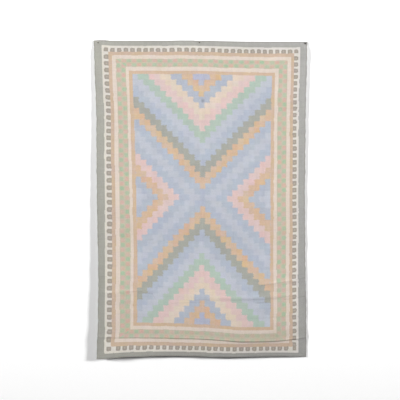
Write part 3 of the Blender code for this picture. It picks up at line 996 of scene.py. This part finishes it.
def stand_off(settings, across, down, x, z):
    """Clear space between the wall and the rug's back."""
    top = curve_value(STAND_OFF, "top", across)
    middle = curve_value(STAND_OFF, "middle", across)
    bottom = curve_value(STAND_OFF, "bottom", across)
    space = top * (1.0 - down) * (1.0 - 2.0 * down) + middle * 4.0 * down * (1.0 - down)
    space = (space + bottom * down * (2.0 * down - 1.0)) * MM * loose_share(x, z)
    grow = np.clip((down - FLUTE_START) / FLUTE_GROWTH, 0.0, 1.0)
    for flute in FLUTES:
        space = space + flute.depth * MM * grow * np.sin(math.tau * flute.waves * across + flute.phase)
    for crease in CREASES:
        space = space + crease_height(settings, crease, across, down)
    calm = nail_calm(x, z)
    for ripple in RIPPLES:
        wave = math.tau * (ripple.waves_across * across + ripple.waves_down * down) + ripple.phase
        space = space + ripple.depth * MM * calm * np.sin(wave)
    space = space + fold_height(settings.length, across, down)
    return space + top_belly(x, down * settings.length)


def selvedge_sway(settings, across, down):
    """Small waves of the two selvedges, which fade out towards the middle."""
    v = down * settings.length
    wave = sum(np.sin(math.tau * v / span + SELVEDGE_PHASE * span) for span in SELVEDGE_WAVES)
    u = across * settings.width
    on_left = np.maximum(0.0, 1.0 - u / SELVEDGE_REACH)
    on_right = np.maximum(0.0, 1.0 - (settings.width - u) / SELVEDGE_REACH)
    return SELVEDGE_SWAY * wave * (on_right - on_left)


def spread_lines(length, spots):
    """Places of grid lines from 0 to length, closer together near the spots."""
    places = np.linspace(0.0, length, LINE_SAMPLES)
    gap = np.full(LINE_SAMPLES, LINE_PITCH)
    for spot in spots:
        away = np.maximum(abs(places - spot.place) - spot.reach, 0.0)
        gap = np.minimum(gap, spot.pitch + PITCH_GROWTH * away)
    steps = np.diff(places) / (0.5 * (gap[1:] + gap[:-1]))
    count = np.concatenate(([0.0], np.cumsum(steps)))
    return np.interp(np.linspace(0.0, count[-1], round(count[-1]) + 1), count, places)


def lines_through(lines, wanted):
    """Moves in the exact lines that are wanted, in place of those that lie close to them."""
    kept = [line for line in lines if min(abs(line - place) for place in wanted) > HOLE_HALF]
    return np.array(sorted({lines[0], lines[-1], *kept, *wanted}))


def nail_places(settings):
    """Where each nail goes through the cloth, as metres across and down it."""
    places = []
    for nail in NAILS:
        down = 0.0
        for _ in range(NAIL_PASSES):
            left = side_x(settings.width, 0.0, down)
            right = side_x(settings.width, 1.0, down)
            across = (nail.x - left) / (right - left)
            top = row_z(settings.length, across, 0.0)
            fold = row_z(settings.length, across, FOLD_DOWN)
            down = (top - nail.z) / (top - fold) * FOLD_DOWN
        places.append((float(across) * settings.width, float(down) * settings.length))
    return places


def cloth_lines(settings, nails):
    """Grid lines across and down the cloth."""
    edges = [Spot(place, EDGE_SPOT_REACH, EDGE_PITCH) for place in (0.0, settings.width)]
    middle = Spot(CREASES[0].start[0] * settings.width, CREASE_REACH, CREASE_PITCH)
    columns = spread_lines(settings.width, [*edges, middle])
    spots = [Spot(place, EDGE_SPOT_REACH, EDGE_PITCH) for place in (0.0, settings.length)]
    fold = FOLD_DOWN * settings.length
    tuck = float(tuck_length(settings.length, np.linspace(0.0, 1.0, TUCK_SAMPLES)).max())
    spots.append(Spot(fold + tuck / 2, tuck / 2 + TUCK_MARGIN, FOLD_PITCH))
    for crease in CREASES[1:SOLID_CREASES]:
        place = (crease.start[1] + crease.end[1]) / 2 * settings.length
        spots.append(Spot(place, CREASE_REACH, CREASE_PITCH))
    rows = spread_lines(settings.length, spots)
    columns = lines_through(columns, [u + side for u, _ in nails for side in (-HOLE_HALF, HOLE_HALF)])
    rows = lines_through(rows, [v + side for _, v in nails for side in (-HOLE_HALF, HOLE_HALF)])
    return columns, rows


def back_surface(settings, columns, rows):
    """Points of the rug's back, and each one's place on the cloth."""
    across = columns[None, :] / settings.width
    down = rows[:, None] / settings.length
    x = side_x(settings.width, across, down) + selvedge_sway(settings, across, down)
    z = row_z(settings.length, across, down) + 0.0 * x
    points = np.stack([x, -stand_off(settings, across, down, x, z), z], axis=-1)
    places = np.stack(np.broadcast_arrays(columns[None, :], rows[:, None]), axis=-1)
    return points, places


def face_normals(points):
    """Unit normals of the grid, towards the rug's face."""
    along = np.gradient(points, axis=1)
    down = np.gradient(points, axis=0)
    normals = np.cross(down, along)
    return normals / np.linalg.norm(normals, axis=-1, keepdims=True)


def half_thickness(settings, places):
    """Half the cloth's thickness: round at its edges, with a doubled cord along each selvedge."""
    full = settings.thickness / 2
    side = np.minimum(places[..., 0], settings.width - places[..., 0])
    edge = np.minimum(side, np.minimum(places[..., 1], settings.length - places[..., 1]))
    part = np.clip(1.0 - edge / full, 0.0, 1.0)
    cord = np.clip(1.0 - abs(side / SELVEDGE_CORD_WIDTH - 0.5) * 2.0, 0.0, 1.0)
    return full * np.sqrt(1.0 - part * part) * (1.0 + SELVEDGE_CORD * np.sin(cord * math.pi / 2))


def cell_corners(index):
    """The four corners of each grid cell, counterclockwise as seen from the front."""
    return np.stack([index[:-1, :-1], index[1:, :-1], index[1:, 1:], index[:-1, 1:]], axis=-1)


def kept_cells(places, nails):
    """True for each grid cell of the cloth, and false where a nail goes through."""
    middles = (places[:-1, :-1] + places[1:, 1:]) / 2
    kept = np.ones(middles.shape[:2], bool)
    for nail in nails:
        kept &= (abs(middles - nail) > HOLE_HALF).any(axis=-1)
    return kept


def hole_walls(cells):
    """Edges of the holes, as pairs of grid points."""
    walls = []
    for r, c in np.argwhere(~cells):
        ring = [(r, c), (r, c + 1), (r + 1, c + 1), (r + 1, c)]
        beyond = [(r - 1, c), (r, c + 1), (r + 1, c), (r, c - 1)]
        for i, neighbour in enumerate(beyond):
            if cells[neighbour]:
                walls.append((ring[i], ring[(i + 1) % 4]))
    return walls


def sheet_mesh(settings):
    """Closed mesh of the cloth, with a hole at each nail, a cloth map in metres and a map for baking."""
    nails = nail_places(settings)
    columns, rows = cloth_lines(settings, nails)
    back, places = back_surface(settings, columns, rows)
    normals = face_normals(back)
    middle = back + normals * settings.thickness / 2
    half = half_thickness(settings, places)[..., None]
    tall, wide = half.shape[:2]
    front_index = np.arange(tall * wide).reshape(tall, wide)
    back_index = front_index + tall * wide
    rim = np.zeros((tall, wide), bool)
    rim[[0, -1], :] = True
    rim[:, [0, -1]] = True
    back_index[rim] = front_index[rim]
    points = np.concatenate([middle + normals * half, middle - normals * half]).reshape(-1, 3)
    cells = kept_cells(places, nails)
    front = cell_corners(front_index)[cells]
    walls = hole_walls(cells)
    faces = np.concatenate([front, cell_corners(back_index)[cells][:, ::-1], np.array([
        (front_index[second], front_index[first], back_index[first], back_index[second])
        for first, second in walls])])
    corners = np.concatenate([front, front[:, ::-1], np.array([
        (front_index[second], front_index[first], front_index[first], front_index[second])
        for first, second in walls])])
    counts = (len(front), len(front), len(walls))
    used, faces = np.unique(faces, return_inverse=True)
    mesh = bpy.data.meshes.new("woven_sheet")
    mesh.from_pydata(points[used].tolist(), [], faces.reshape(-1, 4).tolist())
    add_maps(mesh, settings, places.reshape(-1, 2), corners, counts)
    mesh.shade_smooth()
    mesh.validate()
    return mesh


def add_maps(mesh, settings, places, corners, counts):
    """Cloth map in metres, the same on both faces of the weave, and separate islands for baking."""
    cloth = places[corners]
    layer = mesh.uv_layers.new(name=CLOTH_MAP)
    layer.data.foreach_set("uv", cloth.reshape(-1))
    room = 0.5 - 2.0 * BAKE_MARGIN
    bake = np.empty(cloth.shape)
    bake[..., 0] = cloth[..., 0] / settings.width * room + BAKE_MARGIN
    bake[..., 1] = 1.0 - BAKE_MARGIN - cloth[..., 1] / settings.length * (1.0 - 2.0 * BAKE_MARGIN)
    back = slice(counts[0], counts[0] + counts[1])
    bake[back, :, 0] += 0.5
    square = np.array(((0.0, 0.0), (1.0, 0.0), (1.0, 1.0), (0.0, 1.0))) * BAKE_HOLE_SIZE
    for i in range(counts[2]):
        bake[counts[0] + counts[1] + i] = square + (0.5, BAKE_MARGIN + BAKE_HOLE_STEP * BAKE_HOLE_SIZE * i)
    layer = mesh.uv_layers.new(name=BAKE_MAP)
    layer.data.foreach_set("uv", bake.reshape(-1))


def shared_groups():
    """Builds the node groups that the materials use, once."""
    for name, build in (("mottling", group_mottling), ("flat weave", group_flat_weave),
                        ("border bands", group_bands)):
        if name not in bpy.data.node_groups:
            build()


class DHURRIE_OT_weave_rug(bpy.types.Operator):
    """Weave the rug as a fine sheet that hangs in the folds of its solid"""

    bl_idname = "dhurrie.weave_rug"
    bl_label = "Weave rug"

    def execute(self, context):
        settings = context.scene.dhurrie
        shared_groups()
        rug = bpy.data.objects.new("woven_sheet", sheet_mesh(settings))
        context.scene.collection.objects.link(rug)
        rug.data.materials.append(cotton_material(settings))
        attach(rug, "root")
        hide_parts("rug")
        return {"FINISHED"}


class DHURRIE_OT_finish_nails(bpy.types.Operator):
    """Give the three nails their steel: two in a pale worn tone and a dark one at the right"""

    bl_idname = "dhurrie.finish_nails"
    bl_label = "Finish nails"

    def execute(self, context):
        shared_groups()
        worn = steel_material("worn_steel", *WORN_STEEL)
        dark = steel_material("dark_steel", *DARK_STEEL)
        for nail, steel in zip(NAILS, (worn, worn, dark)):
            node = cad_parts[nail.node]
            if not node.material_slots:
                node.data.materials.append(steel)
            node.material_slots[0].material = steel
        return {"FINISHED"}


def bare_material(name):
    """Material without a node, and a bench for its tree."""
    material = bpy.data.materials.new(name)
    material.use_nodes = True
    material.node_tree.nodes.clear()
    return material, Bench(material.node_tree)


def wall_material():
    """White wall that is see-through from behind, and lets the rear light on to the rug's back alone."""
    material, bench = bare_material("white_wall")
    paint = bench.add("ShaderNodeBsdfDiffuse", WHITE)
    glow = bench.add("ShaderNodeEmission", WHITE, WALL_GLOW)
    lit = bench.add("ShaderNodeAddShader", bench.out(paint), bench.out(glow))
    clear = bench.add("ShaderNodeBsdfTransparent")
    geometry = bench.add("ShaderNodeNewGeometry")
    path = bench.add("ShaderNodeLightPath")
    backfacing = Wire(bench, geometry.outputs["Backfacing"])
    first_hit = Wire(bench, path.outputs["Diffuse Depth"]) < 0.5
    unseen = backfacing.larger(Wire(bench, path.outputs["Is Shadow Ray"]) * first_hit)
    mixed = bench.add("ShaderNodeMixShader", unseen, bench.out(lit), bench.out(clear))
    bench.add("ShaderNodeOutputMaterial", bench.out(mixed))
    return material


def floor_material():
    """Plain pale floor that throws little of its light back at the wall."""
    material, bench = bare_material("pale_floor")
    pale = bench.add("ShaderNodeBsdfDiffuse", FLOOR_COLOUR)
    dim = bench.add("ShaderNodeBsdfDiffuse", FLOOR_THROW)
    path = bench.add("ShaderNodeLightPath")
    mixed = bench.add("ShaderNodeMixShader", Wire(bench, path.outputs["Is Camera Ray"]), bench.out(dim),
                      bench.out(pale))
    bench.add("ShaderNodeOutputMaterial", bench.out(mixed))
    return material


def room_world(stage):
    """Pale room: even soft light from all round, and a brighter backdrop for the camera."""
    world = bpy.data.worlds.new("pale_room")
    world.use_nodes = True
    bench = Bench(world.node_tree)
    background = world.node_tree.nodes["Background"]
    background.inputs["Color"].default_value = WHITE
    seen = bench.out(bench.add("ShaderNodeLightPath"))
    bench.feed(background.inputs["Strength"], bench.pick(seen, stage.ambient, BACKDROP))
    return world


def plane(name, size, location, material):
    """Flat backdrop with the given size along X and along its other direction, facing its own +Z."""
    half_x, half_y = size[0] / 2, size[1] / 2
    corners = [(-half_x, -half_y, 0.0), (half_x, -half_y, 0.0), (half_x, half_y, 0.0), (-half_x, half_y, 0.0)]
    mesh = bpy.data.meshes.new(name)
    mesh.from_pydata(corners, [], [(0, 1, 2, 3)])
    mesh.materials.append(material)
    backdrop = bpy.data.objects.new(name, mesh)
    backdrop.location = location
    bpy.context.scene.collection.objects.link(backdrop)
    return backdrop


def area_light(name, place, target, size, power, spread=180.0):
    """Square soft light at a place, turned towards a target."""
    lamp = bpy.data.lights.new(name, "AREA")
    lamp.shape = "SQUARE"
    lamp.size = size
    lamp.energy = power
    lamp.spread = math.radians(spread)
    light = bpy.data.objects.new(name, lamp)
    light.location = place
    light.visible_camera = False
    light.rotation_euler = (Vector(target) - Vector(place)).to_track_quat("-Z", "Y").to_euler()
    bpy.context.scene.collection.objects.link(light)
    return light


class DHURRIE_OT_set_stage(bpy.types.Operator):
    """Set up the wall, floor, soft lights and camera"""

    bl_idname = "dhurrie.set_stage"
    bl_label = "Set stage"

    def execute(self, context):
        scene = context.scene
        stage = scene.dhurrie_stage
        wall = plane("wall", WALL_SIZE, WALL_PLACE, wall_material())
        wall.rotation_euler = (math.radians(90), 0.0, 0.0)
        plane("floor", FLOOR_SIZE, FLOOR_PLACE, floor_material())
        x, y, z = LAMP_PLACE
        for place, name in (((-x, y, z), "left_light"), ((x, y, z), "right_light")):
            area_light(name, place, LAMP_TARGET, LAMP_SIZE, stage.side_power, LAMP_SPREAD)
        area_light("rear_light", REAR_LAMP_PLACE, WALL_PLACE, REAR_LAMP_SIZE, stage.rear_power)
        scene.world = room_world(stage)
        camera = bpy.data.objects.new("camera", bpy.data.cameras.new("camera"))
        camera.location = (stage.view_centre[0], -stage.camera_distance, stage.view_centre[1])
        camera.rotation_euler = (math.radians(90), 0.0, 0.0)
        camera.data.lens = camera.data.sensor_width * stage.camera_distance / stage.view_width
        scene.collection.objects.link(camera)
        scene.camera = camera
        scene.view_settings.view_transform = "Standard"
        return {"FINISHED"}


class DHURRIE_PT_panel(bpy.types.Panel):
    """Sizes and build steps of the rug"""

    bl_idname = "DHURRIE_PT_panel"
    bl_label = "Dhurrie rug"
    bl_space_type = "VIEW_3D"
    bl_region_type = "UI"
    bl_category = "Dhurrie"

    def draw(self, context):
        for settings in (context.scene.dhurrie, context.scene.dhurrie_stage):
            column = self.layout.column(align=True)
            for name in settings.__annotations__:
                column.prop(settings, name)
        for operator in OPERATORS:
            self.layout.operator(operator.bl_idname)


OPERATORS = (DHURRIE_OT_weave_rug, DHURRIE_OT_finish_nails, DHURRIE_OT_set_stage)
CLASSES = (DhurrieSettings, DhurrieStage, *OPERATORS, DHURRIE_PT_panel)


def register():
    for cls in CLASSES:
        bpy.utils.register_class(cls)
    bpy.types.Scene.dhurrie = bpy.props.PointerProperty(type=DhurrieSettings)
    bpy.types.Scene.dhurrie_stage = bpy.props.PointerProperty(type=DhurrieStage)


def unregister():
    del bpy.types.Scene.dhurrie_stage
    del bpy.types.Scene.dhurrie
    for cls in reversed(CLASSES):
        bpy.utils.unregister_class(cls)


def main():
    register()
    bpy.ops.dhurrie.weave_rug()
    bpy.ops.dhurrie.finish_nails()
    bpy.ops.dhurrie.set_stage()


if __name__ == "__main__":
    main()
